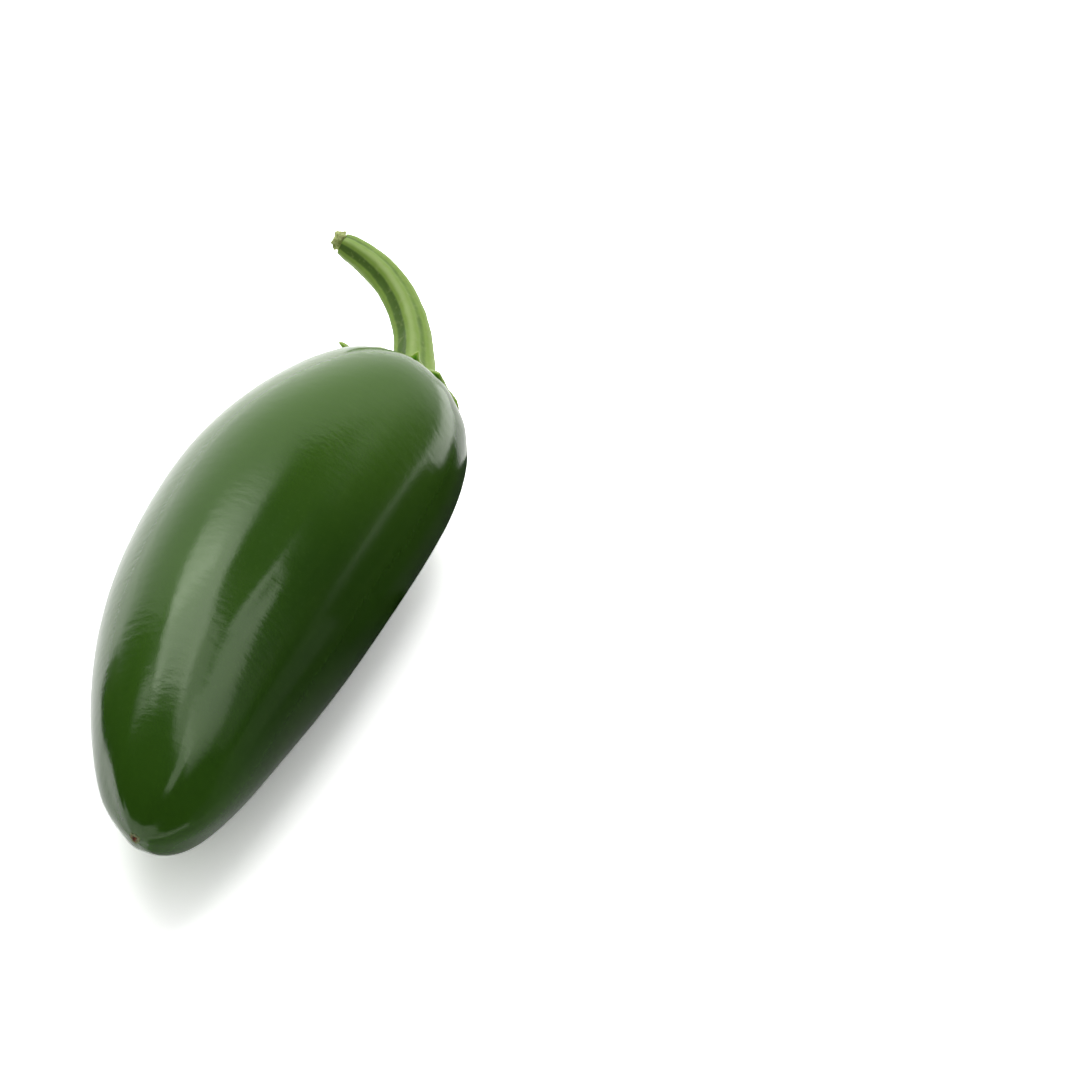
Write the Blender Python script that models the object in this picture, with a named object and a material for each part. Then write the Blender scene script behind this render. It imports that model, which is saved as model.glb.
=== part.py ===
"""A green jalapeño chilli pepper as picked, lying on its side on a flat surface.

It has three pieces: the pod, the toothed calyx that sits on the pod's blunt shoulder, and the
curved stem that flares onto the calyx.  Units are metres and +Z is up.  The origin is the middle
of the small flat on the belly that the pepper rests on.  +X points along the pod, from its
blossom tip towards its stem, and +Y is the side that the pod and the stem bend towards.
"""
from math import cos, exp, pi, radians, sin, sqrt

import bmesh
import bpy
from mathutils import Vector

MM = 0.001
GAP = 0.3 * MM                    # clearance between neighbouring pieces

# Pod: a row of rounded three-lobed sections along a gently bowed spine
POD_LENGTH = 72.1 * MM
POD_RADIUS = 14.0 * MM            # at the widest section
WIDEST_AT = 0.61                  # place along the spine: 0 at the tip, 1 at the stem end
SHOULDER_POWER = 0.211            # the smaller, the blunter the shoulder
TIP_POWER = SHOULDER_POWER * (WIDEST_AT / (1 - WIDEST_AT)) ** 2   # same curvature both sides
TIP_HOLLOW = 0.72                 # slims the pod between its widest section and its tip
LOBE_HEIGHT = 0.02                # of the radius
LOBE_TURN = radians(90)           # one of the three lobes points straight up
DIMPLE_DEPTH = 2.0 * MM           # of the hollow in the shoulder that holds the calyx
DIMPLE_RADIUS = 7.0 * MM
SPINE_BOW = 5.5 * MM
TIP_HOOK = 2.7 * MM               # sideways swing of the blossom tip
TIP_HOOK_POWER = 16               # keeps the hook close to the tip
SHOULDER_HOOK = 1.1 * MM          # sideways swing of the stem end
SHOULDER_HOOK_POWER = 8
TIP_DROP = 1.3 * MM               # how far the spine sinks from the stem end to the tip
SPINE_HEIGHT = 13.56 * MM         # of the spine's stem end above the resting surface
REST_AT = 0.60                    # place along the spine that is over the origin

# Swellings and dents of the pod: place along the spine, turn, and height
SWELLINGS = (
    (0.93, radians(64), -0.55 * MM),
    (0.97, radians(130), 0.65 * MM),
    (0.68, radians(35), 0.40 * MM),
)
SWELLING_REACH = 0.12             # along the spine, as a share of its length
SWELLING_FOCUS = 3.0              # around the pod: the larger, the narrower
SWELLING_FADE = 9.0 * MM          # thinner sections swell less

# Calyx: a thin toothed cap that follows the shoulder
CALYX_RADIUS = 8.0 * MM
CALYX_TEETH = 5
TOOTH_HEIGHT = 0.06               # of the calyx radius
CALYX_MIDDLE_THICKNESS = 1.8 * MM
CALYX_RIM_THICKNESS = 0.5 * MM
CALYX_THINNING = 1.5              # power by which it thins towards the rim

# Stem: a ribbed stalk along one cubic curve, given by the offsets of its handles from its foot
STEM_FOOT_HANDLE = 3.5 * MM       # along the pod's axis
STEM_END_HANDLE = Vector((18.1, 2.9, 1.8)) * MM
STEM_END = Vector((17.6, 14.0, 6.0)) * MM
STEM_FOOT_RADIUS = 2.35 * MM
STEM_END_RADIUS = 1.6 * MM
STEM_FLARE = 2.4 * MM             # added to the radius where the stem meets the calyx
STEM_FLARE_REACH = 3.0 * MM
STEM_RIBS = 5
RIB_HEIGHT = 0.05                 # of the stem's radius

# Fineness of the meshes
POD_SIDES = 48
TIP_RINGS = 25
SHOULDER_RINGS = 22
SHOULDER_CROWDING = 2.2           # crowds the rings towards the flat end of the shoulder
CALYX_SIDES = 60
CALYX_RINGS = 7
STEM_SIDES = 20
STEM_RINGS = 28


def start_clean():
    """Remove whatever objects the scene holds."""
    for thing in list(bpy.data.objects):
        bpy.data.objects.remove(thing, do_unlink=True)


def plant_skin(name, colour, roughness):
    """Return a material for living green tissue."""
    skin = bpy.data.materials.new(name)
    skin.use_nodes = True
    shader = skin.node_tree.nodes["Principled BSDF"]
    shader.inputs["Base Color"].default_value = (*colour, 1.0)
    shader.inputs["Roughness"].default_value = roughness
    shader.inputs["Metallic"].default_value = 0.0
    skin.diffuse_color = (*colour, 1.0)
    return skin


def spine_side(place):
    """Return the spine's sideways position, before it is shifted over the origin."""
    bow = SPINE_BOW * (4 * place * (1 - place) - 1)
    tip = TIP_HOOK * (1 - place) ** TIP_HOOK_POWER
    return bow + tip + SHOULDER_HOOK * place ** SHOULDER_HOOK_POWER


def spine(place):
    """Return the point on the pod's spine at place, 0 at the tip and 1 at the stem end."""
    along = (place - REST_AT) * POD_LENGTH
    side = spine_side(place) - spine_side(REST_AT)
    height = SPINE_HEIGHT - TIP_DROP * (1 - place) ** 2
    return Vector((along, side, height))


def directions(tangent):
    """Return the two directions across a tangent: sideways, and upwards."""
    sideways = Vector((0, 0, 1)).cross(tangent).normalized()
    return sideways, tangent.cross(sideways).normalized()


def spine_tangent(place):
    """Return the direction of the pod's spine, towards the stem."""
    step = 1e-4
    return (spine(place + step) - spine(place - step)).normalized()


def pod_radius(place):
    """Return the pod's mean radius at a place along its spine."""
    if place < WIDEST_AT:
        toward_tip = 1 - place / WIDEST_AT
        hollow = 1 - TIP_HOLLOW * toward_tip ** 3 * (1 - toward_tip)
        return POD_RADIUS * (1 - toward_tip ** 2) ** TIP_POWER * hollow
    toward_stem = (place - WIDEST_AT) / (1 - WIDEST_AT)
    return POD_RADIUS * (1 - toward_stem ** 2) ** SHOULDER_POWER


def shoulder_place(radius):
    """Return the place along the spine where the shoulder has this radius."""
    toward_stem = sqrt(1 - (radius / POD_RADIUS) ** (1 / SHOULDER_POWER))
    return WIDEST_AT + (1 - WIDEST_AT) * toward_stem


def swelling(place, turn):
    """Return how far the pod's skin stands out from its even shape."""
    height = 0.0
    for swell_place, swell_turn, swell_height in SWELLINGS:
        along = exp(-((place - swell_place) / SWELLING_REACH) ** 2)
        around = exp(SWELLING_FOCUS * (cos(turn - swell_turn) - 1))
        height += swell_height * along * around
    return height * min(pod_radius(place) / SWELLING_FADE, 1)


def pod_skin(place, turn):
    """Return the point of the pod's skin at a place, turned from +Y up over the top."""
    tangent = spine_tangent(place)
    sideways, upwards = directions(tangent)
    lobes = LOBE_HEIGHT * sqrt(sin(pi * place)) * cos(3 * (turn - LOBE_TURN))
    reach = pod_radius(place) * (1 + lobes) + swelling(place, turn)
    point = spine(place) + reach * (cos(turn) * sideways + sin(turn) * upwards)
    if place > WIDEST_AT:
        point -= DIMPLE_DEPTH * exp(-(reach / DIMPLE_RADIUS) ** 2) * tangent
    return point


def shoulder_lift(radius, turn, height):
    """Return the point that stands this height off the pod's shoulder."""
    place = shoulder_place(radius)
    step = 1e-3
    near_place = shoulder_place(radius * (1 + step))
    outward = pod_skin(near_place, turn) - pod_skin(place, turn)
    around = pod_skin(place, turn + step) - pod_skin(place, turn - step)
    normal = outward.cross(around).normalized()
    return pod_skin(place, turn) + height * normal


def turns(sides):
    """Return evenly spaced angles for one ring."""
    return [2 * pi * side / sides for side in range(sides)]


def closed_body(first_point, rings, last_point):
    """Return a closed mesh: a fan, the quads between the rings, and another fan."""
    mesh = bmesh.new()
    start = mesh.verts.new(first_point)
    end = mesh.verts.new(last_point)
    loops = [[mesh.verts.new(point) for point in ring] for ring in rings]
    count = len(loops[0])
    for side in range(count):
        after = (side + 1) % count
        mesh.faces.new((start, loops[0][after], loops[0][side]))
        mesh.faces.new((end, loops[-1][side], loops[-1][after]))
        for ring, next_ring in zip(loops, loops[1:]):
            mesh.faces.new((ring[side], ring[after], next_ring[after], next_ring[side]))
    bmesh.ops.recalc_face_normals(mesh, faces=mesh.faces)
    return mesh


def finish_piece(name, mesh, skin, crease_angle):
    """Turn a bmesh into a named, smooth-shaded object with its material."""
    data = bpy.data.meshes.new(name)
    mesh.to_mesh(data)
    mesh.free()
    data.shade_smooth()
    data.set_sharp_from_angle(angle=crease_angle)
    data.materials.append(skin)
    piece = bpy.data.objects.new(name, data)
    bpy.context.scene.collection.objects.link(piece)
    return piece


def build_pod(skin):
    """The pod, with a small flat under its belly where it rests."""
    places = []
    for ring in range(1, TIP_RINGS + 1):
        places.append(WIDEST_AT * (1 - cos(pi / 2 * ring / TIP_RINGS)))
    for ring in range(1, SHOULDER_RINGS):
        swing = pi / 2 * (1 - (1 - ring / SHOULDER_RINGS) ** SHOULDER_CROWDING)
        places.append(WIDEST_AT + (1 - WIDEST_AT) * sin(swing))
    rings = [[pod_skin(place, turn) for turn in turns(POD_SIDES)] for place in places]
    mesh = closed_body(spine(0), rings, spine(1) - DIMPLE_DEPTH * spine_tangent(1))
    bmesh.ops.bisect_plane(
        mesh,
        geom=mesh.verts[:] + mesh.edges[:] + mesh.faces[:],
        plane_co=(0, 0, 0),
        plane_no=(0, 0, 1),
        clear_inner=True,
    )
    rim = [edge for edge in mesh.edges if edge.is_boundary]
    bmesh.ops.holes_fill(mesh, edges=rim)
    bmesh.ops.recalc_face_normals(mesh, faces=mesh.faces)
    return finish_piece("pod", mesh, skin, radians(60))


def calyx_rim(turn):
    """Return the calyx's outer radius, with its main teeth and the small ones between."""
    teeth = cos(CALYX_TEETH * turn) + 0.5 * cos(2 * CALYX_TEETH * turn)
    return CALYX_RADIUS * (1 + TOOTH_HEIGHT * teeth)


def build_calyx(skin):
    """The calyx, a cap whose underside follows the shoulder and whose rim is toothed."""
    underside = []
    upperside = []
    for ring in range(1, CALYX_RINGS + 1):
        share = ring / CALYX_RINGS
        extra = CALYX_MIDDLE_THICKNESS - CALYX_RIM_THICKNESS
        thickness = CALYX_RIM_THICKNESS + extra * (1 - share) ** CALYX_THINNING
        low = []
        high = []
        for turn in turns(CALYX_SIDES):
            radius = calyx_rim(turn) * share
            low.append(shoulder_lift(radius, turn, GAP))
            high.append(shoulder_lift(radius, turn, GAP + thickness))
        underside.append(low)
        upperside.append(high)
    axis = spine_tangent(1)
    bottom = spine(1) + axis * (GAP - DIMPLE_DEPTH)
    top = bottom + axis * CALYX_MIDDLE_THICKNESS
    mesh = closed_body(bottom, underside + upperside[::-1], top)
    return finish_piece("calyx", mesh, skin, radians(50))


def stem_point(foot, axis, share):
    """Return a point on the stem's cubic centreline, at share 0 to 1 of it."""
    handles = (
        foot,
        foot + axis * STEM_FOOT_HANDLE,
        foot + STEM_END_HANDLE,
        foot + STEM_END,
    )
    rest = 1 - share
    weights = (rest ** 3, 3 * rest ** 2 * share, 3 * rest * share ** 2, share ** 3)
    return sum((handle * weight for handle, weight in zip(handles, weights)), Vector())


def build_stem(skin):
    """The stem, a ribbed stalk that flares onto the calyx and thins towards its cut end."""
    axis = spine_tangent(1)
    foot = spine(1) + axis * (CALYX_MIDDLE_THICKNESS + 2 * GAP - DIMPLE_DEPTH)
    step = 1e-4
    rings = []
    for ring in range(STEM_RINGS + 1):
        share = ring / STEM_RINGS
        centre = stem_point(foot, axis, share)
        if ring == 0:
            tangent = axis
        else:
            tangent = stem_point(foot, axis, share + step) - stem_point(foot, axis, share - step)
        sideways, upwards = directions(tangent.normalized())
        stalk = STEM_FOOT_RADIUS + (STEM_END_RADIUS - STEM_FOOT_RADIUS) * share
        stalk += STEM_FLARE * exp(-((centre - foot).length / STEM_FLARE_REACH) ** 1.5)
        loop = []
        for turn in turns(STEM_SIDES):
            reach = stalk * (1 + RIB_HEIGHT * cos(STEM_RIBS * turn))
            loop.append(centre + reach * (cos(turn) * sideways + sin(turn) * upwards))
        rings.append(loop)
    mesh = closed_body(foot, rings, stem_point(foot, axis, 1))
    return finish_piece("stem", mesh, skin, radians(50))


start_clean()
build_pod(plant_skin("pod_skin", (0.030, 0.085, 0.012), 0.22))
build_calyx(plant_skin("calyx_skin", (0.170, 0.270, 0.070), 0.50))
build_stem(plant_skin("stem_skin", (0.230, 0.340, 0.100), 0.45))
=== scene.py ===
from math import cos, degrees, exp, pi, radians, sin

import bmesh
import bpy
import numpy as np
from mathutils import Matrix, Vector, noise


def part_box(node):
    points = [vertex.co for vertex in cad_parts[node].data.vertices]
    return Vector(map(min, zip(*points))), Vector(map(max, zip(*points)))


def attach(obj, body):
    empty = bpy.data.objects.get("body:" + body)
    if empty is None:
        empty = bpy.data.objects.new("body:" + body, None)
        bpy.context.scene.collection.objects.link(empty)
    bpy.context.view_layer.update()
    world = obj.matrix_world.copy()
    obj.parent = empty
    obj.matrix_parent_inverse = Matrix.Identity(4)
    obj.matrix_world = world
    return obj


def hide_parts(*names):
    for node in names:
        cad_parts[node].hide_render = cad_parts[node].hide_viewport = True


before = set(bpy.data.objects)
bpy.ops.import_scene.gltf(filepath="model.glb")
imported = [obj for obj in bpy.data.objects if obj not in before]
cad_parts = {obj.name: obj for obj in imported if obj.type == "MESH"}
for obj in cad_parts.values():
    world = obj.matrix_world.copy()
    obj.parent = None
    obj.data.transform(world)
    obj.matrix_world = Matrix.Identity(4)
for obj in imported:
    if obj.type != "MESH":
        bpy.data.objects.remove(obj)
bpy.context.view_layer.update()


# ---------------------------------------------------------------------------------------------
# Pod.  The fruit itself: one grown, three-lobed body on a gently bowed spine, with a blunt
# shoulder that sinks in under the calyx and a puckered blossom tip.  Its skin is a thin, hard
# wax over dark green flesh, so it is very smooth and reflects what stands around it.

MM = 0.001
pod_low, pod_high = (Vector(corner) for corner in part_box("pod"))
pod_length = (pod_high.x - pod_low.x) * 0.9983      # of the spine, without the tip's roundness
pod_radius = (pod_high.z - pod_low.z) * 0.5052      # at the widest section
spine_height = (pod_high.z - pod_low.z) * 0.4893    # of the stem end, above the surface
spine_bow = pod_length * 0.0763
tip_hook = pod_length * 0.0374
tip_drop = pod_length * 0.0180
shoulder_hook = pod_length * 0.0153
rest_at = -pod_low.x / (pod_high.x - pod_low.x)     # place along the spine over the origin
widest_at = 0.61
shoulder_power = 0.211
tip_power = shoulder_power * (widest_at / (1 - widest_at)) ** 2
tip_hollow = 0.72
lobe_height = 0.02
lobe_turn = radians(90)
dimple_depth = 2.0 * MM
dimple_radius = 7.0 * MM

swelling_spread = 0.12                              # along the spine, as a share of it
swelling_focus = 3.0                                # around the spine; higher is narrower
swelling_full_radius = 9.0 * MM                     # thinner sections swell less
pod_swellings = (                                   # place along the spine, turn, height
    (0.93, 64, -0.55 * MM),
    (0.97, 130, 0.65 * MM),
    (0.68, 35, 0.40 * MM),
)

# the skin's greens, from its clouds to the painted shade and painted light on its two sides and
# its lighter shoulder
deep_green = (0.026, 0.080, 0.0065)
leaf_green = (0.038, 0.105, 0.0090)
streak_green = (0.046, 0.112, 0.011)
fleck_green = (0.075, 0.150, 0.026)
tip_green = (0.030, 0.092, 0.0060)
# painted shade, for the flank turned away from the light
painted_shade_green = (0.014, 0.036, 0.0045)
# painted light, for the side turned towards the light
painted_light_green = (0.052, 0.138, 0.010)
# the shoulder's lighter, yellower green; partly painted light, as it is laid on mostly on the lit
# side
shoulder_green = (0.078, 0.185, 0.015)
lit_side_turn = radians(52)                            # the side painted as lit; the far flank is painted in shade


def spine_side(place):
    """Sideways position of the spine, before it is shifted over the origin."""
    bow = spine_bow * (4 * place * (1 - place) - 1)
    tip = tip_hook * (1 - place) ** 16
    return bow + tip + shoulder_hook * place ** 8


def spine(place):
    """Points on the pod's spine; place runs from 0 at the tip to 1 at the stem end."""
    place = np.asarray(place, float)
    along = (place - rest_at) * pod_length
    side = spine_side(place) - spine_side(rest_at)
    height = spine_height - tip_drop * (1 - place) ** 2
    return np.stack([along, side, height], -1)


def spine_directions(place):
    """The spine's tangent and the two directions across it, sideways and upwards."""
    step = 1e-4
    tangent = spine(np.asarray(place) + step) - spine(np.asarray(place) - step)
    tangent /= np.linalg.norm(tangent, axis=-1, keepdims=True)
    sideways = np.cross([0.0, 0.0, 1.0], tangent)
    sideways /= np.linalg.norm(sideways, axis=-1, keepdims=True)
    return tangent, sideways, np.cross(tangent, sideways)


def section_radius(place):
    """Mean radius of the pod's section at each place."""
    toward_tip = np.clip(1 - place / widest_at, 0, 1)
    hollow = 1 - tip_hollow * toward_tip ** 3 * (1 - toward_tip)
    tip_side = (1 - toward_tip ** 2) ** tip_power * hollow
    toward_stem = np.clip((place - widest_at) / (1 - widest_at), 0, 1)
    stem_side = (1 - toward_stem ** 2) ** shoulder_power
    return pod_radius * np.where(place < widest_at, tip_side, stem_side)


def swelling(place, turn):
    """How far the skin stands out from the even shape."""
    height = 0.0
    for swell_place, swell_turn, swell_height in pod_swellings:
        along = np.exp(-((place - swell_place) / swelling_spread) ** 2)
        around = np.exp(swelling_focus * (np.cos(turn - radians(swell_turn)) - 1))
        height = height + swell_height * along * around
    return height * np.minimum(section_radius(place) / swelling_full_radius, 1)


def skin_point(place, turn):
    """Points of the pod's skin, turned from +Y up over the top."""
    tangent, sideways, upwards = spine_directions(place)
    ends = np.sqrt(np.clip(np.sin(pi * place), 0, 1))
    lobes = lobe_height * ends * np.cos(3 * (turn - lobe_turn))
    reach = section_radius(place) * (1 + lobes) + swelling(place, turn)
    out = np.cos(turn)[..., None] * sideways + np.sin(turn)[..., None] * upwards
    sunk = np.where(place > widest_at, dimple_depth * np.exp(-(reach / dimple_radius) ** 2), 0)
    return spine(place) + reach[..., None] * out - sunk[..., None] * tangent


def ring_mesh(name, rings, first_point, last_point, values=()):
    """A closed skin through rings of points, with a fan at each end.

    values holds (name, numbers per ring or per point) pairs that are kept on the points.
    """
    count, sides = rings.shape[:2]
    points = np.concatenate([rings.reshape(-1, 3), [first_point, last_point]])
    first, last = count * sides, count * sides + 1
    here = np.arange(sides)
    after = (here + 1) % sides
    faces = []
    for ring in range(count - 1):
        low, high = ring * sides, (ring + 1) * sides
        faces += np.stack([low + here, low + after, high + after, high + here], -1).tolist()
    faces += [(first, int(b), int(a)) for a, b in zip(here, after)]
    top = (count - 1) * sides
    faces += [(last, int(top + a), int(top + b)) for a, b in zip(here, after)]
    mesh = bpy.data.meshes.new(name)
    mesh.from_pydata(points.tolist(), [], faces)
    for value_name, ring_values in values:
        layer = mesh.attributes.new(value_name, "FLOAT", "POINT")
        ring_values = np.asarray(ring_values, float)
        if ring_values.ndim == 1:
            ring_values = np.repeat(ring_values[:, None], sides, 1)
        spread = np.append(ring_values.ravel(), [ring_values[0].mean(), ring_values[-1].mean()])
        layer.data.foreach_set("value", spread)
    work = bmesh.new()
    work.from_mesh(mesh)
    bmesh.ops.recalc_face_normals(work, faces=work.faces)
    work.to_mesh(mesh)
    work.free()
    mesh.shade_smooth()
    piece = bpy.data.objects.new(name, mesh)
    bpy.context.scene.collection.objects.link(piece)
    return piece


def new_tree(name, inputs):
    """An empty geometry tree with named inputs; returns the tree and its two end nodes."""
    tree = bpy.data.node_groups.new(name, "GeometryNodeTree")
    face = tree.interface
    face.new_socket("Geometry", in_out="INPUT", socket_type="NodeSocketGeometry")
    for input_name, kind, value in inputs:
        socket = face.new_socket(input_name, in_out="INPUT", socket_type="NodeSocket" + kind)
        if value is not None:
            socket.default_value = value
    face.new_socket("Geometry", in_out="OUTPUT", socket_type="NodeSocketGeometry")
    return tree, tree.nodes.new("NodeGroupInput"), tree.nodes.new("NodeGroupOutput")


def add(tree, kind, settings=(), **links):
    """Adds a node; links give each named input a value or another node's output."""
    node = tree.nodes.new(kind)
    for setting, value in dict(settings).items():
        setattr(node, setting, value)
    for name, value in links.items():
        key = int(name[3:]) if name.startswith("in_") else name.replace("_", " ")
        socket = node.inputs[key]
        if isinstance(value, bpy.types.NodeSocket):
            tree.links.new(value, socket)
        else:
            socket.default_value = value
    return node


def calc(tree, operation, *terms):
    """One Math node; returns its output."""
    node = tree.nodes.new("ShaderNodeMath")
    node.operation = operation
    for socket, term in zip(node.inputs, terms):
        if isinstance(term, bpy.types.NodeSocket):
            tree.links.new(term, socket)
        else:
            socket.default_value = term
    return node.outputs[0]


def skin_relief_tree():
    """Raises soft dents and fine ripples along a skin's own normals."""
    tree, start, end = new_tree("skin_relief", (
        ("Dent Height", "Float", 0.0),
        ("Dent Size", "Float", 0.01),
        ("Ripple Height", "Float", 0.0),
        ("Ripple Size", "Float", 0.002),
        ("Stretch", "Vector", (1.0, 1.0, 1.0)),
        ("Skin", "Material", None),
    ))
    given = start.outputs
    place = add(tree, "GeometryNodeInputPosition").outputs[0]
    stretched = add(tree, "ShaderNodeVectorMath", {"operation": "MULTIPLY"}, in_0=place,
                    in_1=given["Stretch"]).outputs[0]
    heights = []
    for kind, shift in (("Dent", (0.0, 0.0, 0.0)), ("Ripple", (3.1, 1.7, 4.3))):
        moved = add(tree, "ShaderNodeVectorMath", {"operation": "ADD"}, in_0=stretched,
                    in_1=shift).outputs[0]
        scale = calc(tree, "DIVIDE", 1.0, given[kind + " Size"])
        field = add(tree, "ShaderNodeTexNoise", {"noise_dimensions": "3D"}, Vector=moved,
                    Scale=scale, Detail=1.0, Roughness=0.4).outputs["Fac"]
        centred = calc(tree, "SUBTRACT", field, 0.5)
        heights.append(calc(tree, "MULTIPLY", centred, given[kind + " Height"]))
    rise = calc(tree, "ADD", *heights)
    normal = add(tree, "GeometryNodeInputNormal").outputs[0]
    offset = add(tree, "ShaderNodeVectorMath", {"operation": "SCALE"}, in_0=normal,
                 Scale=rise).outputs[0]
    moved = add(tree, "GeometryNodeSetPosition", Geometry=given["Geometry"], Offset=offset)
    whole = add(tree, "GeometryNodeRealizeInstances", Geometry=moved.outputs[0])
    skinned = add(tree, "GeometryNodeSetMaterial", Geometry=whole.outputs[0],
                  Material=given["Skin"])
    tree.links.new(skinned.outputs[0], end.inputs[0])
    return tree


def run_tree(piece, tree, inputs):
    """Puts a geometry tree on a piece, sets its inputs and makes the result its plain mesh."""
    modifier = piece.modifiers.new(tree.name, "NODES")
    modifier.node_group = tree
    names = {item.name: item.identifier for item in tree.interface.items_tree
             if item.in_out == "INPUT"}
    for name, value in inputs.items():
        modifier[names[name]] = value
    graph = bpy.context.evaluated_depsgraph_get()
    graph.update()
    finished = bpy.data.meshes.new_from_object(piece.evaluated_get(graph), depsgraph=graph)
    piece.modifiers.remove(modifier)
    piece.data = finished
    piece.data.name = piece.name
    piece.data.shade_smooth()
    return piece


def blank_skin(name):
    """A new material with its Principled shader; returns material, tree and shader."""
    material = bpy.data.materials.new(name)
    material.use_nodes = True
    tree = material.node_tree
    return material, tree, tree.nodes["Principled BSDF"]


def mottle(tree, coordinates, scale, detail=2.0, stretch=None, distortion=0.0):
    """A noise field, 0 to 1, on a piece's own coordinates."""
    if stretch:
        mapping = add(tree, "ShaderNodeMapping", Vector=coordinates, Scale=stretch)
        coordinates = mapping.outputs[0]
    return add(tree, "ShaderNodeTexNoise", Vector=coordinates, Scale=scale, Detail=detail,
               Distortion=distortion).outputs["Fac"]


def ramp(tree, factor, low, high):
    """Spreads the part of a field between low and high over 0 to 1, softly."""
    node = add(tree, "ShaderNodeMapRange", {"interpolation_type": "SMOOTHSTEP"}, Value=factor)
    node.inputs["From Min"].default_value = low
    node.inputs["From Max"].default_value = high
    return node.outputs["Result"]


def blend(tree, factor, first, second):
    """Mixes two colours."""
    node = tree.nodes.new("ShaderNodeMix")
    node.data_type = "RGBA"
    for index, value in ((0, factor), (6, first), (7, second)):
        if isinstance(value, bpy.types.NodeSocket):
            tree.links.new(value, node.inputs[index])
        elif index:
            node.inputs[index].default_value = (*value, 1.0)
        else:
            node.inputs[index].default_value = value
    return node.outputs[2]


def emboss(tree, height, distance, under=None):
    """A bump of a height field, its distance in metres; under is a coarser bump below it."""
    node = add(tree, "ShaderNodeBump", Height=height, Distance=distance, Strength=1.0)
    if under is not None:
        tree.links.new(under, node.inputs["Normal"])
    return node.outputs[0]


def waxy_pod_skin():
    """Dark green flesh under clear wax: clouded, streaked and flecked and deeper in colour at the
    tip, with painted shade on one flank and painted light and a lighter, yellower shoulder on the
    other."""
    material, tree, shader = blank_skin("waxy_pod_skin")
    own = tree.nodes.new("ShaderNodeTexCoord").outputs["Object"]
    along = add(tree, "ShaderNodeAttribute", {"attribute_name": "along"}).outputs["Fac"]
    clouds = ramp(tree, mottle(tree, own, 70, 3.0, (0.6, 1.0, 1.0)), 0.35, 0.70)
    streaks = ramp(tree, mottle(tree, own, 420, 2.0, (0.12, 1.0, 1.0)), 0.38, 0.75)
    flecks = ramp(tree, mottle(tree, own, 2600, 1.0), 0.60, 0.78)
    green = blend(tree, clouds, deep_green, leaf_green)
    green = blend(tree, calc(tree, "MULTIPLY", streaks, 0.40), green, streak_green)
    green = blend(tree, calc(tree, "MULTIPLY", flecks, 0.15), green, fleck_green)
    tip = calc(tree, "SUBTRACT", 1.0, ramp(tree, along, 0.0, 0.22))
    green = blend(tree, calc(tree, "MULTIPLY", tip, 0.75), green, tip_green)
    # painted light and shade, by how far the skin faces the side painted as lit
    lit_side = add(tree, "ShaderNodeAttribute", {"attribute_name": "lit_side"}).outputs["Fac"]
    # painted shade: darkens the flank turned away from the light, fading out towards the tip
    shade = calc(tree, "SUBTRACT", 1.0, ramp(tree, lit_side, 0.25, 0.85))
    shade = calc(tree, "MULTIPLY", shade, ramp(tree, along, 0.02, 0.28))
    green = blend(tree, calc(tree, "MULTIPLY", shade, 0.62), green, painted_shade_green)
    # painted light: lightens the side turned towards the light, fading out towards the tip
    lit = calc(tree, "MULTIPLY", ramp(tree, along, 0.05, 0.42), ramp(tree, lit_side, 0.78, 0.98))
    green = blend(tree, calc(tree, "MULTIPLY", lit, 0.85), green, painted_light_green)
    # lighter, yellower towards the shoulder, mostly on the side painted as lit, partly as painted
    # light
    shoulder = ramp(tree, along, 0.42, 0.92)
    shoulder = calc(tree, "MULTIPLY", shoulder, ramp(tree, lit_side, 0.10, 0.80))
    green = blend(tree, calc(tree, "MULTIPLY", shoulder, 0.80), green, shoulder_green)
    tree.links.new(green, shader.inputs["Base Color"])
    smears = mottle(tree, own, 160, 3.0)
    rough = add(tree, "ShaderNodeMapRange", Value=smears)
    rough.inputs["To Min"].default_value = 0.12
    rough.inputs["To Max"].default_value = 0.20
    tree.links.new(rough.outputs[0], shader.inputs["Roughness"])
    peel = emboss(tree, mottle(tree, own, 700, 2.0, (1.6, 0.8, 0.8)), 0.000020)
    wrinkles = emboss(tree, mottle(tree, own, 420, 3.0, (2.4, 0.5, 0.5)), 0.000010, under=peel)
    pores = emboss(tree, mottle(tree, own, 3400, 2.0), 0.000006, under=wrinkles)
    tree.links.new(pores, shader.inputs["Normal"])
    shader.inputs["IOR"].default_value = 1.46
    shader.inputs["Specular Tint"].default_value = (0.90, 1.0, 0.80, 1.0)
    return material


pod_sides = 320
tip_rings = 170
shoulder_rings = 120
toward_widest = np.arange(1, tip_rings + 1) / tip_rings
tip_places = widest_at * (1 - np.cos(pi / 2 * toward_widest))
toward_end = np.arange(1, shoulder_rings) / shoulder_rings
swing = pi / 2 * (1 - (1 - toward_end) ** 2.2)      # crowds the rings towards the flat end
places = np.concatenate([tip_places, widest_at + (1 - widest_at) * np.sin(swing)])
turns = 2 * pi * np.arange(pod_sides) / pod_sides
place_grid, turn_grid = np.meshgrid(places, turns, indexing="ij")
pod_rings = skin_point(place_grid, turn_grid)

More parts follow.
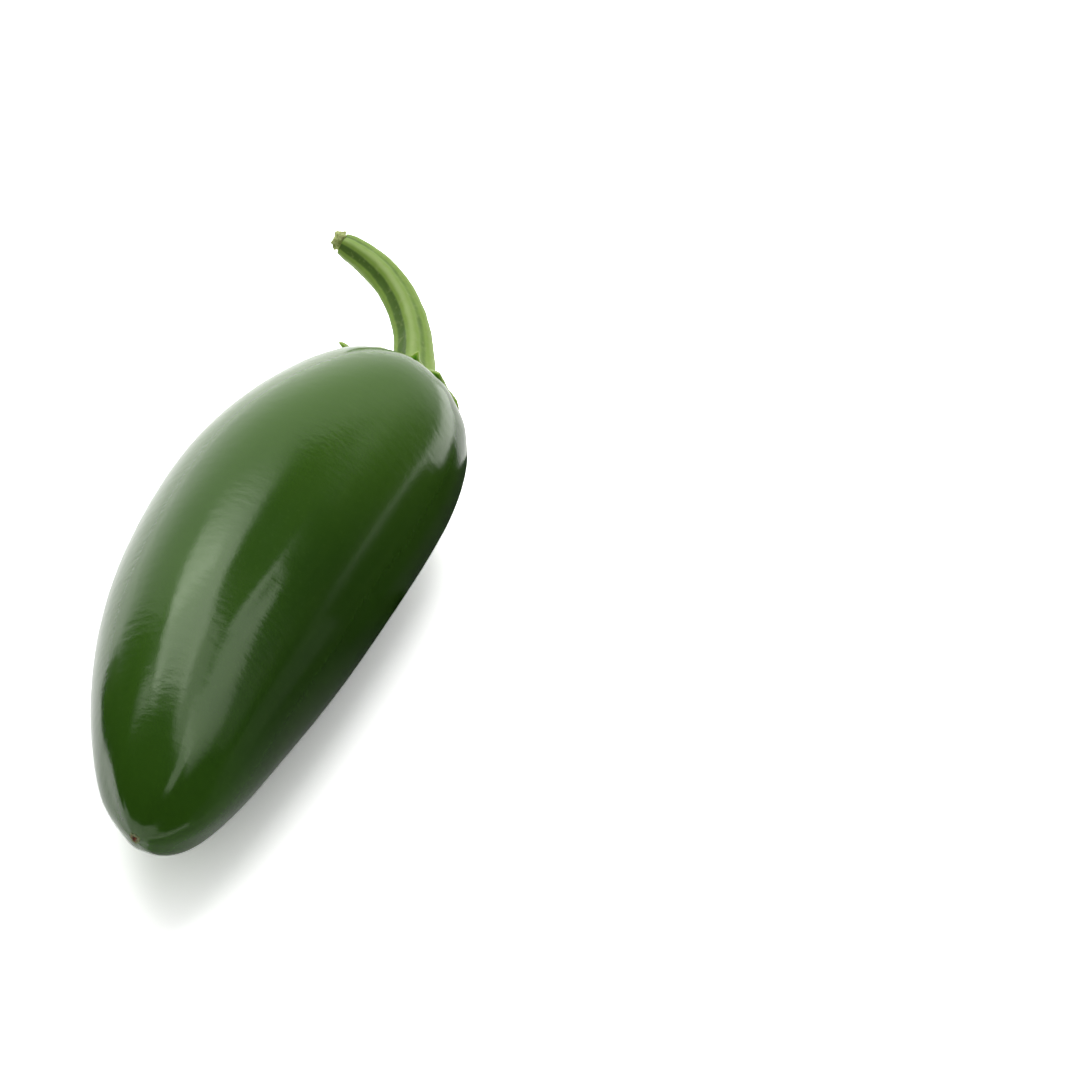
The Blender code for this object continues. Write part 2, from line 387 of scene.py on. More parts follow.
# Relief in the skin: shallow valleys between the lobes, facets that run together into the
# blossom scar, and furrows that run out from the calyx.
tip_tangent = spine_directions(0.0)[0]
stem_axis = spine_directions(1.0)[0]
stem_end = spine(1.0) - dimple_depth * stem_axis
outward = pod_rings - spine(place_grid)
outward /= np.linalg.norm(outward, axis=-1, keepdims=True)
valleys = (                                         # turn at the tip end and stem end, start,
    (104, 119, 0.30, 0.80, 0.13 * MM, 6.0),         # finish, depth, half width in degrees
    (112, 124, 0.27, 0.42, 0.08 * MM, 4.0),
    (215, 205, 0.15, 0.85, 0.22 * MM, 9.0),
    (335, 345, 0.20, 0.90, 0.20 * MM, 9.0),
)
facet_height = 0.16 * MM
facets_at = 0.06                                    # place along the spine, and its spread
furrow_height = 0.10 * MM
furrows_from = 0.90
furrow_rise = 0.09                                  # share of the spine over which they deepen
relief_height = np.zeros_like(place_grid)
for tip_turn, stem_turn, start_at, finish_at, depth, half_width in valleys:
    share = np.clip((place_grid - start_at) / (finish_at - start_at), 0, 1)
    centre = radians(tip_turn) + radians(stem_turn - tip_turn) * np.sqrt(share)
    apart = (turn_grid - centre + pi) % (2 * pi) - pi
    profile = np.exp(-(apart / radians(half_width)) ** 2)
    relief_height -= depth * profile * np.sin(pi * share) ** 0.7
near_tip = np.exp(-((place_grid - facets_at) / facets_at) ** 2)
relief_height += facet_height * np.cos(6 * turn_grid + 0.6) * near_tip
furrow_wave = np.cos(11 * turn_grid + 1.5 * np.sin(2 * turn_grid + 0.7))
near_calyx = np.clip((place_grid - furrows_from) / furrow_rise, 0, 1) ** 2
relief_height += furrow_height * furrow_wave * near_calyx
pod_rings = pod_rings + relief_height[..., None] * outward
# how far each point faces the side painted as lit, for the skin's painted light and shade
lit_side_share = 0.5 + 0.5 * np.cos(turn_grid - lit_side_turn)

pod = ring_mesh(
    "green_pod", pod_rings, spine(0.0), stem_end,
    [("along", places), ("lit_side", lit_side_share)],
)
relief = skin_relief_tree()
pod_skin = waxy_pod_skin()
run_tree(pod, relief, {
    "Dent Height": 0.30 * MM,
    "Dent Size": 16 * MM,
    "Ripple Height": 0.035 * MM,
    "Ripple Size": 3.0 * MM,
    "Stretch": (0.55, 1.0, 1.0),
    "Skin": pod_skin,
})
for vertex in pod.data.vertices:
    vertex.co.z = max(vertex.co.z, 0.0)             # the soft belly lies flat on the surface
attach(pod, "root")
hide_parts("pod")


# ---------------------------------------------------------------------------------------------
# Blossom scar.  The dry, corky spot at the tip where the flower fell off: a puckered lip round
# a shallow pit with the brown stub of the style in it.  It is grown into the pod's skin.

scar_radius = 0.68 * MM
scar_depth = 0.5 * MM                               # of its closed underside, inside the pod
stub_height = 0.17 * MM
cork_brown = (0.120, 0.026, 0.008)
cork_tan = (0.340, 0.100, 0.035)
lip_green = (0.230, 0.270, 0.120)
skin_green = (0.050, 0.105, 0.012)
scar_profile = (                                    # share of the radius, height over the skin
    (1.00, -0.10 * MM),
    (0.88, 0.07 * MM),
    (0.72, 0.12 * MM),
    (0.55, 0.04 * MM),
    (0.40, -0.02 * MM),
    (0.26, 0.02 * MM),
    (0.14, 0.14 * MM),
    (0.05, 0.17 * MM),
)


def corky_scar():
    """Red-brown cork in the middle, fading through a pale green lip to the skin's green."""
    material, tree, shader = blank_skin("corky_scar")
    own = tree.nodes.new("ShaderNodeTexCoord").outputs["Object"]
    share = add(tree, "ShaderNodeAttribute", {"attribute_name": "share"}).outputs["Fac"]
    crumbs = mottle(tree, own, 4200, 3.0)
    brown = blend(tree, ramp(tree, crumbs, 0.35, 0.65), cork_brown, cork_tan)
    ragged = calc(tree, "MULTIPLY", calc(tree, "SUBTRACT", crumbs, 0.5), 0.5)
    edge = calc(tree, "ADD", share, ragged)
    colour = blend(tree, ramp(tree, edge, 0.45, 0.70), brown, lip_green)
    colour = blend(tree, ramp(tree, edge, 0.85, 1.05), colour, skin_green)
    tree.links.new(colour, shader.inputs["Base Color"])
    shader.inputs["Roughness"].default_value = 0.75
    bumps = emboss(tree, crumbs, 0.00006)
    tree.links.new(bumps, shader.inputs["Normal"])
    return material


scar_sides = 72
scar_turns = 2 * pi * np.arange(scar_sides) / scar_sides
into_pod = Vector(tip_tangent)
across = into_pod.orthogonal().normalized()
across_too = into_pod.cross(across)
tip_point = min(pod.data.vertices, key=lambda v: (v.co - Vector(spine(0.0))).length).co.copy()
clear_of_tip = 3 * MM


def tip_surface(offset):
    """The point of the pod's skin under a sideways offset from the tip."""
    start_at = tip_point - into_pod * clear_of_tip + offset
    hit, point, _, _ = pod.ray_cast(start_at, into_pod)
    return point if hit else tip_point + offset


bpy.context.view_layer.update()
scar_rings = []
for share, height in scar_profile:
    ring = []
    for turn in scar_turns:
        wavy = 1 + 0.10 * cos(3 * turn + 0.5) + 0.06 * cos(7 * turn)
        sideways = (across * cos(turn) + across_too * sin(turn)) * scar_radius * share * wavy
        pucker = 1 + 0.35 * cos(9 * turn + 4 * share)
        lift = height * (pucker if height > 0 else 1)
        ring.append(tip_surface(sideways) - into_pod * lift)
    scar_rings.append(ring)
scar_rings = np.array([[tuple(point) for point in ring] for ring in scar_rings])
under = tuple(tip_point + into_pod * scar_depth)
crown = tuple(tip_point - into_pod * stub_height)
scar = ring_mesh(
    "blossom_scar", scar_rings, under, crown,
    [("share", [share for share, _ in scar_profile])],
)
scar.data.materials.append(corky_scar())
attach(scar, "root")


# ---------------------------------------------------------------------------------------------
# Calyx.  What is left of the flower's green cup: a thin, wrinkled cap that hugs the shoulder,
# with short uneven teeth round its rim and a crease where the stem flares onto it.

calyx_radius = 7.7 * MM
calyx_gap = 0.06 * MM                               # over the pod's shoulder, before its relief
calyx_crown = 1.6 * MM                              # thickness at its middle, under the stem
dark_calyx = (0.150, 0.270, 0.035)
light_calyx = (0.300, 0.430, 0.090)
calyx_flecks = (0.400, 0.520, 0.150)
calyx_edge = (0.450, 0.580, 0.160)
calyx_teeth = (                                     # turn, reach past the rim, lift, half width
    (43, 1.8, 1.5, 5.0),
    (71, 0.5, 0.2, 10.0),
    (106, 0.3, 1.35, 5.0),
    (128, 0.9, 0.3, 8.0),
    (152, 0.5, 0.2, 9.0),
    (181, 0.7, 0.2, 9.0),
    (222, 1.2, 0.4, 8.0),
    (262, 0.6, 0.2, 10.0),
    (300, 1.3, 0.4, 8.0),
    (337, 0.6, 0.2, 10.0),
    (8, 0.9, 0.3, 9.0),
)


def calyx_rim(turn):
    """Outer radius of the calyx, with its teeth and uneven scallops, and the teeth's lift."""
    radius = calyx_radius + 0.16 * MM * cos(5 * turn + 0.4) + 0.10 * MM * cos(13 * turn)
    lift = 0.0
    for tooth_turn, reach, tooth_lift, half_width in calyx_teeth:
        apart = degrees((turn - radians(tooth_turn) + pi) % (2 * pi) - pi)
        share = exp(-abs(apart / half_width) ** 1.4 * 1.6)
        radius += reach * MM * share
        lift += tooth_lift * MM * share
    return radius, lift


def shoulder_place(radius):
    """Place along the spine where the shoulder has this radius."""
    share = np.clip(radius / pod_radius, 0, 0.999)
    return widest_at + (1 - widest_at) * np.sqrt(1 - share ** (1 / shoulder_power))


def over_shoulder(radius, turn, height):
    """Points that stand this height off the pod's shoulder, before the skin's relief."""
    radius = np.maximum(radius, 0.02 * MM)
    base = skin_point(shoulder_place(radius), turn)
    outer = skin_point(shoulder_place(radius * 1.002), turn) - base
    around = skin_point(shoulder_place(radius), turn + 1e-3) - base
    normal = np.cross(outer, around)
    normal /= np.linalg.norm(normal, axis=-1, keepdims=True)
    return base + np.asarray(height)[..., None] * normal


def calyx_skin():
    """Soft light green leaf tissue, veined and wrinkled, paler along its rim."""
    material, tree, shader = blank_skin("calyx_skin")
    own = tree.nodes.new("ShaderNodeTexCoord").outputs["Object"]
    share = add(tree, "ShaderNodeAttribute", {"attribute_name": "share"}).outputs["Fac"]
    clouds = ramp(tree, mottle(tree, own, 260, 3.0), 0.35, 0.68)
    flecks = ramp(tree, mottle(tree, own, 1900, 2.0), 0.50, 0.70)
    colour = blend(tree, clouds, dark_calyx, light_calyx)
    colour = blend(tree, calc(tree, "MULTIPLY", flecks, 0.35), colour, calyx_flecks)
    rim = ramp(tree, share, 0.86, 1.0)
    colour = blend(tree, calc(tree, "MULTIPLY", rim, 0.6), colour, calyx_edge)
    tree.links.new(colour, shader.inputs["Base Color"])
    shader.inputs["Roughness"].default_value = 0.48
    wrinkles = emboss(tree, mottle(tree, own, 1300, 3.0, distortion=0.6), 0.00010)
    grain = emboss(tree, mottle(tree, own, 6500, 2.0), 0.00001, under=wrinkles)
    tree.links.new(grain, shader.inputs["Normal"])
    shader.inputs["Subsurface Weight"].default_value = 0.60
    shader.inputs["Subsurface Radius"].default_value = (0.0012, 0.0018, 0.0006)
    shader.inputs["Subsurface Scale"].default_value = 1.0
    return material


calyx_sides = 540
calyx_turns = 2 * pi * np.arange(calyx_sides) / calyx_sides
rim_radii, tooth_lifts = np.array([calyx_rim(turn) for turn in calyx_turns]).T
under_shares = np.linspace(0.08, 0.985, 14)
upper_shares = np.linspace(0.992, 0.06, 60)


def calyx_thickness(share, turn):
    """Thickness of the calyx, with veins, a rolled rim and the crease round the stem."""
    body = 0.42 * MM + 1.3 * MM * (1 - share) ** 1.5
    between = np.sin(pi * np.clip(share, 0, 1)) ** 0.7
    veins = 0.16 * MM * np.cos(10 * turn + 0.5 * np.sin(3 * turn)) * between
    ripples = 0.07 * MM * np.cos(31 * turn + 9 * share) * share
    crease = -0.30 * MM * np.exp(-((share - 0.66) / 0.045) ** 2)
    roll = 0.14 * MM * np.exp(-((share - 0.93) / 0.05) ** 2)
    edge = np.sqrt(np.clip((1.0 - share) / 0.05, 0.02, 1))
    return (body + veins + ripples + crease + roll) * edge


rim_wave = 0.18 * MM * np.cos(4 * calyx_turns + 1.0) + 0.10 * MM * np.cos(9 * calyx_turns)


def underside_lift(share):
    """How far the calyx's underside stands off the shoulder, most of all at its rim."""
    return calyx_gap + (np.clip(rim_wave, 0, None) + tooth_lifts) * share ** 6


calyx_rings = []
for share in under_shares:
    lift = underside_lift(share)
    calyx_rings.append(over_shoulder(rim_radii * share, calyx_turns, lift))
for share in upper_shares:
    lift = underside_lift(share) + calyx_thickness(share, calyx_turns)
    calyx_rings.append(over_shoulder(rim_radii * share, calyx_turns, lift))
calyx = ring_mesh(
    "toothed_calyx",
    np.array(calyx_rings),
    stem_end + stem_axis * calyx_gap,
    stem_end + stem_axis * (calyx_gap + calyx_crown),
    [("share", np.concatenate([under_shares, upper_shares]))],
)
run_tree(calyx, relief, {
    "Dent Height": 0.25 * MM,
    "Dent Size": 2.6 * MM,
    "Ripple Height": 0.10 * MM,
    "Ripple Size": 0.8 * MM,
    "Skin": calyx_skin(),
})
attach(calyx, "root")
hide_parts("calyx")


# ---------------------------------------------------------------------------------------------
# Stem.  The fruit's stalk: a tough, ribbed rod that grows out of the calyx with a flared foot,
# bends over to one side and thins towards the place where it was snapped off the plant.  The
# foot made here stops about half a millimetre short of the calyx.

stem_low, stem_high = (Vector(corner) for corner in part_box("stem"))
stem_stand_off = 1.9 * MM                           # from the pod; just clear of the calyx
stem_foot = Vector(stem_end + stem_axis * stem_stand_off)
stem_span = stem_high.x - stem_low.x
stem_foot_handle = stem_foot + Vector(stem_axis) * stem_span * 0.175
stem_tip_handle = stem_foot + Vector((0.906, 0.145, 0.090)) * stem_span
stem_tip = stem_foot + Vector((0.893, 0.684, 0.314)) * stem_span
collar_at = 0.965                                   # shares of the stem's length
collar_spread = 0.028
narrows_from = 0.72
furrow_green = (0.085, 0.175, 0.014)
stalk_green = (0.260, 0.420, 0.062)
rib_green = (0.340, 0.490, 0.120)
fibre_green = (0.400, 0.500, 0.150)
worn_brown = (0.190, 0.150, 0.055)


def stalk_tree():
    """Sweeps a ribbed, tapering section, flared at its foot, along one Bezier segment."""
    tree, start, end = new_tree("ribbed_stalk", (
        ("Foot", "Vector", (0.0, 0.0, 0.0)),
        ("Foot Handle", "Vector", (0.0, 0.0, 0.0)),
        ("Tip Handle", "Vector", (0.0, 0.0, 0.0)),
        ("Tip", "Vector", (0.0, 0.0, 0.0)),
        ("Steps", "Int", 100),
        ("Sides", "Int", 100),
        ("Foot Radius", "Float", 0.002),
        ("Tip Radius", "Float", 0.001),
        ("Flare", "Float", 0.002),
        ("Flare Reach", "Float", 0.002),
        ("Collar", "Float", 0.0),
        ("End Narrowing", "Float", 0.0),
        ("Ribs", "Float", 5.0),
        ("Rib Height", "Float", 0.1),
        ("Rib Turn", "Float", 0.0),
        ("Skin", "Material", None),
    ))
    given = start.outputs
    path = add(tree, "GeometryNodeCurvePrimitiveBezierSegment", {"mode": "POSITION"},
               Resolution=64, Start=given["Foot"], Start_Handle=given["Foot Handle"],
               End_Handle=given["Tip Handle"], End=given["Tip"]).outputs[0]
    path = add(tree, "GeometryNodeResampleCurve", Curve=path, Count=given["Steps"]).outputs[0]
    spline = add(tree, "GeometryNodeSplineParameter").outputs
    taper = calc(tree, "SUBTRACT", given["Tip Radius"], given["Foot Radius"])
    taper = calc(tree, "MULTIPLY", taper, spline["Factor"])
    flare = calc(tree, "DIVIDE", spline["Length"], given["Flare Reach"])
    flare = calc(tree, "EXPONENT", calc(tree, "MULTIPLY", calc(tree, "POWER", flare, 1.5), -1.0))
    flare = calc(tree, "MULTIPLY", flare, given["Flare"])
    collar = calc(tree, "SUBTRACT", spline["Factor"], collar_at)
    collar = calc(tree, "DIVIDE", collar, collar_spread)
    collar = calc(tree, "EXPONENT", calc(tree, "MULTIPLY", calc(tree, "POWER", collar, 2.0), -1.0))
    collar = calc(tree, "MULTIPLY", collar, given["Collar"])
    radius = calc(tree, "ADD", given["Foot Radius"], taper)
    radius = calc(tree, "ADD", radius, calc(tree, "ADD", flare, collar))
    narrowed = calc(tree, "MAXIMUM", calc(tree, "SUBTRACT", spline["Factor"], narrows_from), 0.0)
    narrowed = calc(tree, "POWER", calc(tree, "DIVIDE", narrowed, 1 - narrows_from), 3.0)
    narrowed = calc(tree, "MULTIPLY", narrowed, given["End Narrowing"])
    narrowed = calc(tree, "SUBTRACT", 1.0, narrowed)
    radius = calc(tree, "MULTIPLY", radius, narrowed)
    on_points = {"data_type": "FLOAT", "domain": "POINT"}
    path = add(tree, "GeometryNodeStoreNamedAttribute", on_points, Geometry=path, Name="along",
               Value=spline["Factor"]).outputs[0]

    outline = add(tree, "GeometryNodeCurvePrimitiveCircle", {"mode": "RADIUS"},
                  Resolution=given["Sides"], Radius=1.0).outputs[0]
    around = add(tree, "GeometryNodeSplineParameter").outputs["Factor"]
    turn = calc(tree, "ADD", calc(tree, "MULTIPLY", around, 2 * pi), given["Rib Turn"])
    ridge = calc(tree, "COSINE", calc(tree, "MULTIPLY", turn, given["Ribs"]))
    uneven = calc(tree, "COSINE", calc(tree, "ADD", calc(tree, "MULTIPLY", turn, 2.0), 0.8))
    ridge = calc(tree, "ADD", ridge, calc(tree, "MULTIPLY", uneven, 0.5))
    stretch = calc(tree, "ADD", 1.0, calc(tree, "MULTIPLY", ridge, given["Rib Height"]))
    spot = add(tree, "GeometryNodeInputPosition").outputs[0]
    spot = add(tree, "ShaderNodeVectorMath", {"operation": "SCALE"}, in_0=spot,
               Scale=stretch).outputs[0]
    outline = add(tree, "GeometryNodeStoreNamedAttribute", on_points, Geometry=outline,
                  Name="ridge", Value=ridge).outputs[0]
    outline = add(tree, "GeometryNodeSetPosition", Geometry=outline, Position=spot).outputs[0]
    swept = add(tree, "GeometryNodeCurveToMesh", Curve=path, Profile_Curve=outline,
                Scale=radius, Fill_Caps=True).outputs[0]
    whole = add(tree, "GeometryNodeRealizeInstances", Geometry=swept).outputs[0]
    skinned = add(tree, "GeometryNodeSetMaterial", Geometry=whole, Material=given["Skin"])
    tree.links.new(skinned.outputs[0], end.inputs[0])
    return tree


def stalk_skin():
    """Fibrous green stalk: pale yellow-green ribs, darker furrows and a fine, speckled grain."""
    material, tree, shader = blank_skin("stalk_skin")
    own = tree.nodes.new("ShaderNodeTexCoord").outputs["Object"]
    ridge = add(tree, "ShaderNodeAttribute", {"attribute_name": "ridge"}).outputs["Fac"]
    along = add(tree, "ShaderNodeAttribute", {"attribute_name": "along"}).outputs["Fac"]
    clouds = mottle(tree, own, 300, 3.0)
    fibres = mottle(tree, own, 1500, 2.0)
    patchy = calc(tree, "MULTIPLY", calc(tree, "SUBTRACT", clouds, 0.5), 1.2)
    mixed = calc(tree, "ADD", ridge, patchy)
    colour = blend(tree, ramp(tree, mixed, -1.0, -0.1), furrow_green, stalk_green)
    colour = blend(tree, ramp(tree, mixed, 0.2, 1.2), colour, rib_green)
    specks = ramp(tree, fibres, 0.52, 0.75)
    colour = blend(tree, calc(tree, "MULTIPLY", specks, 0.25), colour, fibre_green)
    worn = calc(tree, "MULTIPLY", ramp(tree, along, 0.93, 1.0), ramp(tree, clouds, 0.40, 0.62))
    colour = blend(tree, calc(tree, "MULTIPLY", worn, 0.6), colour, worn_brown)
    tree.links.new(colour, shader.inputs["Base Color"])
    shader.inputs["Roughness"].default_value = 0.50
    shader.inputs["Specular IOR Level"].default_value = 0.35
    furrows = emboss(tree, fibres, 0.00005)
    grain = emboss(tree, mottle(tree, own, 7000, 2.0), 0.000012, under=furrows)
    tree.links.new(grain, shader.inputs["Normal"])
    shader.inputs["Subsurface Weight"].default_value = 0.12
    shader.inputs["Subsurface Radius"].default_value = (0.0006, 0.0010, 0.0003)
    shader.inputs["Subsurface Scale"].default_value = 1.0
    return material


stem_holder = bpy.data.meshes.new("ribbed_stem")
stem = bpy.data.objects.new("ribbed_stem", stem_holder)
bpy.context.scene.collection.objects.link(stem)
stem_skin = stalk_skin()
run_tree(stem, stalk_tree(), {
    "Foot": stem_foot,
    "Foot Handle": stem_foot_handle,
    "Tip Handle": stem_tip_handle,
    "Tip": stem_tip,
    "Steps": 220,
    "Sides": 160,
    "Foot Radius": 2.30 * MM,
    "Tip Radius": 1.62 * MM,
    "Flare": 2.3 * MM,
    "Flare Reach": 3.0 * MM,
    "Collar": 0.10 * MM,
    "End Narrowing": 0.30,
    "Ribs": 5.0,
    "Rib Height": 0.085,
    "Rib Turn": 0.35,
    "Skin": stem_skin,
})
run_tree(stem, relief, {
    "Dent Height": 0.16 * MM,
    "Dent Size": 2.4 * MM,
    "Ripple Height": 0.05 * MM,
    "Ripple Size": 0.7 * MM,
    "Skin": stem_skin,
})
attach(stem, "root")
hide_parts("stem")


# ---------------------------------------------------------------------------------------------
# Snapped end.  The pale, corky knob on the stem's end where it parted from the plant: a torn
# lump of the stem's own tissue, healed over and still joined to it.

knob_radius = 0.95 * MM
knob_overhang = 0.35 * MM                           # past the stem's end, and above its middle
knob_flatness = 0.8
knob_lumps = 0.45
knob_green = (0.260, 0.330, 0.060)
knob_pale = (0.620, 0.700, 0.260)
dried_brown = (0.200, 0.110, 0.030)
knob_sides = 48
knob_bands = 24
knob_latitudes = pi * np.arange(1, knob_bands) / knob_bands
stem_end_way = (stem_tip - stem_tip_handle).normalized()
knob_across = stem_end_way.orthogonal().normalized()
knob_across_too = stem_end_way.cross(knob_across)
knob_centre = stem_tip + stem_end_way * knob_overhang + Vector((0.0, 0.0, knob_overhang))


def knob_point(latitude, turn):
    """A point of the knob: a flattened ball with uneven lumps."""
    out = knob_across * cos(turn) + knob_across_too * sin(turn)
    way = stem_end_way * cos(latitude) * knob_flatness + out * sin(latitude)
    lumps = noise.noise(way * 2.3 + Vector((4.0, 1.0, 7.0))) + 0.5 * noise.noise(way * 5.0)
    return knob_centre + way * knob_radius * (1 + knob_lumps * lumps)


knob_turns = 2 * pi * np.arange(knob_sides) / knob_sides
knob_rings = np.array([[tuple(knob_point(latitude, turn)) for turn in knob_turns]
                       for latitude in knob_latitudes])
knob = ring_mesh(
    "snapped_end", knob_rings, tuple(knob_point(0.0, 0.0)), tuple(knob_point(pi, 0.0)),
)


def knob_skin():
    """Pale yellow-green tissue with brown, dried crumbs."""
    material, tree, shader = blank_skin("knob_skin")
    own = tree.nodes.new("ShaderNodeTexCoord").outputs["Object"]
    crumbs = mottle(tree, own, 1800, 3.0)
    colour = blend(tree, ramp(tree, crumbs, 0.35, 0.62), knob_green, knob_pale)
    dried = ramp(tree, mottle(tree, own, 900, 2.0), 0.62, 0.72)
    colour = blend(tree, calc(tree, "MULTIPLY", dried, 0.6), colour, dried_brown)
    tree.links.new(colour, shader.inputs["Base Color"])
    shader.inputs["Roughness"].default_value = 0.70
    tree.links.new(emboss(tree, crumbs, 0.00010), shader.inputs["Normal"])
    return material


knob.data.materials.append(knob_skin())
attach(knob, "root")


# ---------------------------------------------------------------------------------------------
# Studio.  A plain white table, white sheets of light overhead and behind, small cards beside
# the pod that are seen only in reflections, and a camera that looks down on the pepper from its
# tip end.

floor_reach = 3
floor_drop = 0.02 * MM                              # keeps it from touching the pod's flat belly
floor_corners = [
    (-floor_reach, -floor_reach, 0), (floor_reach, -floor_reach, 0),
    (floor_reach, floor_reach, 0), (-floor_reach, floor_reach, 0),
]
floor_mesh = bpy.data.meshes.new("floor")
floor_mesh.from_pydata(floor_corners, [], [(0, 1, 2, 3)])
floor = bpy.data.objects.new("floor", floor_mesh)
floor.location.z = -floor_drop
bpy.context.scene.collection.objects.link(floor)
floor_paint, floor_tree, floor_shader = blank_skin("floor_paint")
# the white is lifted to overexposed for the camera, and less so in the pod's reflections
floor_white = (0.92, 0.92, 0.92)
floor_seen = (2.85, 2.85, 2.85)
floor_reflected = (1.7, 1.7, 1.7)
path = add(floor_tree, "ShaderNodeLightPath").outputs
overexposed = blend(floor_tree, path["Is Camera Ray"], floor_white, floor_seen)
overexposed = blend(floor_tree, path["Is Glossy Ray"], overexposed, floor_reflected)
floor_tree.links.new(overexposed, floor_shader.inputs["Base Color"])
floor_shader.inputs["Roughness"].default_value = 0.9
floor_shader.inputs["Specular IOR Level"].default_value = 0.1
floor_mesh.materials.append(floor_paint)

# an even white glow fills the room, unseen by reflections
world = bpy.data.worlds.new("studio")
bpy.context.scene.world = world
world.use_nodes = True
background = world.node_tree.nodes["Background"]
background.inputs["Color"].default_value = (1.0, 1.0, 1.0, 1.0)
background.inputs["Strength"].default_value = 0.36
world.cycles_visibility.glossy = False


def glow(name, radiance, softness, tint, see_through):
    """Light that fades out over shares of the card's width and height at its four edges.

    A see-through card adds its light to whatever is behind it; any other card hides it.
    """
    material = bpy.data.materials.new(name)
    material.use_nodes = True
    tree = material.node_tree
    tree.nodes.clear()
    spot = add(tree, "ShaderNodeTexCoord").outputs["UV"]
    parts = add(tree, "ShaderNodeSeparateXYZ", Vector=spot).outputs
    backside = add(tree, "ShaderNodeNewGeometry").outputs["Backfacing"]
    strength = calc(tree, "SUBTRACT", 1.0, backside)
    strength = calc(tree, "MULTIPLY", strength, radiance)
    for part, (start_fade, end_fade) in zip((parts["X"], parts["Y"]), softness):
        strength = calc(tree, "MULTIPLY", strength, ramp(tree, part, 0.0, start_fade))
        far_side = calc(tree, "SUBTRACT", 1.0, part)
        strength = calc(tree, "MULTIPLY", strength, ramp(tree, far_side, 0.0, end_fade))
    light = add(tree, "ShaderNodeEmission", Color=(*tint, 1.0), Strength=strength).outputs[0]
    if see_through:
        clear = add(tree, "ShaderNodeBsdfTransparent").outputs[0]
        light = add(tree, "ShaderNodeAddShader", in_0=light, in_1=clear).outputs[0]
    out = add(tree, "ShaderNodeOutputMaterial")
    tree.links.new(light, out.inputs["Surface"])
    return material


def card(name, corner, wide, tall, radiance, softness=((0.1, 0.1), (0.1, 0.1)),
         tint=(1.0, 1.0, 1.0), see_through=True):
    """A flat card from one corner and its two sides, in metres; it is lit on its wide x tall
    side, the camera doesn't see it and it throws no shadow."""
    corner, wide, tall = Vector(corner), Vector(wide), Vector(tall)
    mesh = bpy.data.meshes.new(name)
    outline = (corner, corner + wide, corner + wide + tall, corner + tall)
    mesh.from_pydata(outline, [], [(0, 1, 2, 3)])
    layer = mesh.uv_layers.new(name="UVMap")
    for loop, place in zip(layer.data, ((0, 0), (1, 0), (1, 1), (0, 1))):
        loop.uv = place
    mesh.materials.append(glow(name, radiance, softness, tint, see_through))
    piece = bpy.data.objects.new(name, mesh)
    piece.visible_camera = False
    piece.visible_shadow = False
    bpy.context.scene.collection.objects.link(piece)
    return piece


# These hang overhead and face down. key_light lights the pepper and isn't seen in it; the
# others are only seen in its skin, as the veil and the two streaks along its back. The core,
# the bridge and the tip's sheet hang below the sheets that they overlap, to add to their light.
key_sheet = card(
    "key_sheet", (0.0, 0.68, 0.80), (0.75, 0.0, 0.0), (0.0, -0.78, 0.0),
    3.8, ((0.12, 0.60), (0.14, 0.16)),
)
key_light = card(
    "key_light", (0.03, 0.66, 0.81), (0.62, 0.0, 0.0), (0.0, -0.99, 0.0),
    3.3, ((0.15, 0.55), (0.12, 0.15)),
)
fill_sheet = card(
    "fill_sheet", (-0.02, -0.14, 0.80), (0.66, -0.44, 0.0), (-0.25, -1.59, 0.0),
    2.5, ((0.12, 0.12), (0.07, 1.00)),
)
key_core = card(
    "key_core", (0.16, 0.62, 0.79), (0.13, 0.03, 0.0), (0.14, -0.52, 0.0),
    2.6, ((0.35, 0.35), (0.30, 0.25)),
)
key_bridge = card(
    "key_bridge", (-0.16, 0.10, 0.78), (0.43, -0.06, 0.0), (0.0, -0.42, 0.0),
    1.9, ((0.35, 0.14), (0.28, 0.35)),
)
tip_sheet = card(
    "tip_sheet", (-0.66, -0.20, 0.77), (0.76, 0.0, 0.0), (0.0, -0.50, 0.0),
    1.9, ((0.35, 0.20), (0.15, 0.20)),
)
left_strip = card(
    "left_strip", (-0.05, 1.40, 0.80), (0.20, 0.0, 0.0), (0.0, -1.02, 0.0),
    2.8, ((0.35, 0.35), (0.75, 0.10)),
)
# A long sheet stands behind, brighter low down and higher on its left, and a dim wall is far off
# on the right.
behind = card(
    "sheet_behind", (0.33, 1.08, 0.0), (0.61, -2.09, 0.0), (0.0, 0.0, 0.72),
    1.00, ((0.03, 0.38), (0.01, 0.12)),
)
behind_high = card(
    "sheet_behind_high", (0.33, 1.08, 0.64), (0.40, -1.37, 0.0), (0.0, 0.0, 0.44),
    1.00, ((0.03, 0.50), (0.16, 0.10)),
)
behind_low = card(
    "sheet_behind_low", (0.32, 1.05, 0.0), (0.59, -2.02, 0.0), (0.0, 0.0, 0.40),
    0.55, ((0.10, 0.30), (0.01, 0.90)),
)
dim_wall = card(
    "dim_wall", (0.54, -0.95, 0.12), (-0.36, 0.0, 0.0), (0.0, 0.0, 0.66),
    0.30, ((0.30, 0.30), (0.30, 0.30)),
)
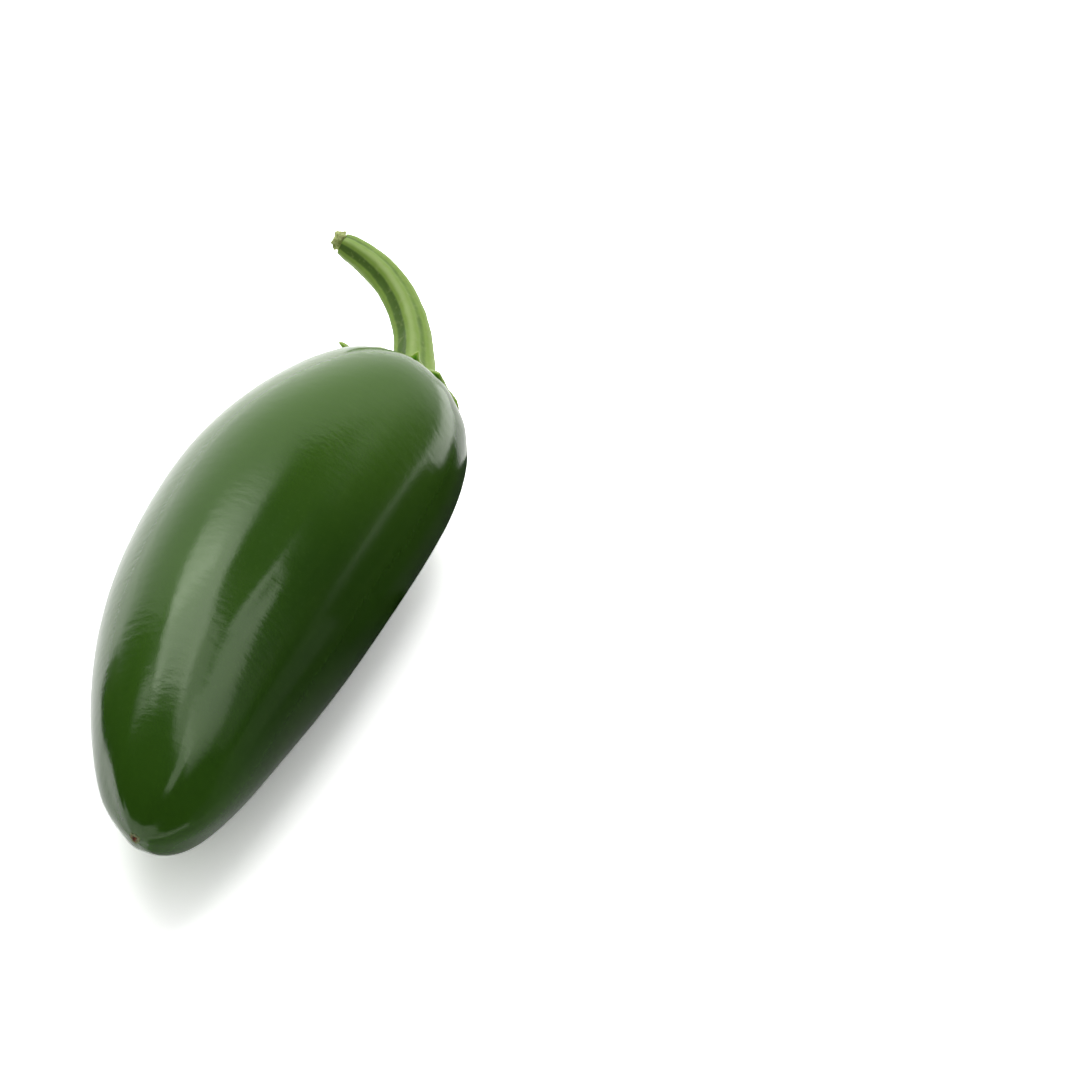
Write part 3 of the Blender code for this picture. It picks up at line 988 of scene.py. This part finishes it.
# Small cards near the pod: a bright reflector behind it, and opaque flags that darken both of
# its flanks, two of them tinted green; two more lie on the table under its right side and its
# tip as a painted shadow, seen only in the pod's reflections.
glint = card(
    "low_reflector", (0.105, -0.025, 0.0), (-0.050, -0.043, 0.0), (0.0, 0.0, 0.028),
    2.0, ((0.10, 0.40), (0.02, 0.60)),
)
flag_left = card(
    "flag_left", (-0.060, 0.048, 0.0), (0.050, 0.0, 0.0), (0.0, 0.0, 0.020),
    0.0, see_through=False,
)
flag_green = (0.3, 1.0, 0.05)
flag_right = card(
    "flag_right", (0.031, -0.025, 0.0), (-0.029, 0.0, 0.0), (-0.006, 0.0, 0.0180),
    0.03, tint=flag_green, see_through=False,
)
flag_right_low = card(
    "flag_right_low", (0.041, -0.025, 0.0), (-0.012, 0.0, 0.0), (-0.006, 0.0, 0.0130),
    0.03, tint=flag_green, see_through=False,
)
flag_far = card(
    "flag_far", (0.062, -0.065, -0.006), (-0.120, 0.0, 0.006), (0.0, 0.0, 0.0225),
    0.14, ((0.02, 0.02), (0.02, 0.02)), see_through=False,
)
# painted shadow: a dark sheet on the table beside the pod's right side, seen only in reflections
flag_table = card(
    "flag_table", (0.012, -0.064, 0.0002), (0.028, 0.0, 0.0), (0.0, 0.054, 0.0),
    0.03, ((0.02, 0.02), (0.02, 0.02)), see_through=False,
)
# painted shadow: a dim sheet on the table round the tip, seen only in reflections
flag_tip = card(
    "flag_tip", (-0.074, -0.064, 0.0002), (0.086, 0.0, 0.0), (0.0, 0.062, 0.0),
    0.32, ((0.01, 0.60), (0.01, 0.01)), see_through=False,
)
reflected_only = (
    key_sheet, key_core, key_bridge, fill_sheet, tip_sheet, left_strip,
    behind_high, behind_low, dim_wall, glint,
    flag_left, flag_right, flag_right_low, flag_far, flag_table, flag_tip,
)
for helper in reflected_only:
    helper.visible_diffuse = False
key_light.visible_glossy = False

# The camera stands back with a long lens, 40 degrees above the table.
camera_data = bpy.data.cameras.new("camera")
camera_data.lens = 150
camera_data.sensor_width = 36
camera_data.clip_start = 0.01
camera_data.clip_end = 20
camera = bpy.data.objects.new("camera", camera_data)
look_azimuth = radians(71.07)
look_down = radians(40)
look_distance = 0.5
forward = Vector((
    sin(look_azimuth) * cos(look_down),
    cos(look_azimuth) * cos(look_down),
    -sin(look_down),
))
aim = Vector((27.43, -20.71, -0.43)) * MM
camera.location = aim - forward * look_distance
camera.rotation_euler = forward.to_track_quat("-Z", "Y").to_euler()
bpy.context.scene.collection.objects.link(camera)
bpy.context.scene.camera = camera
bpy.context.scene.view_settings.view_transform = "Standard"
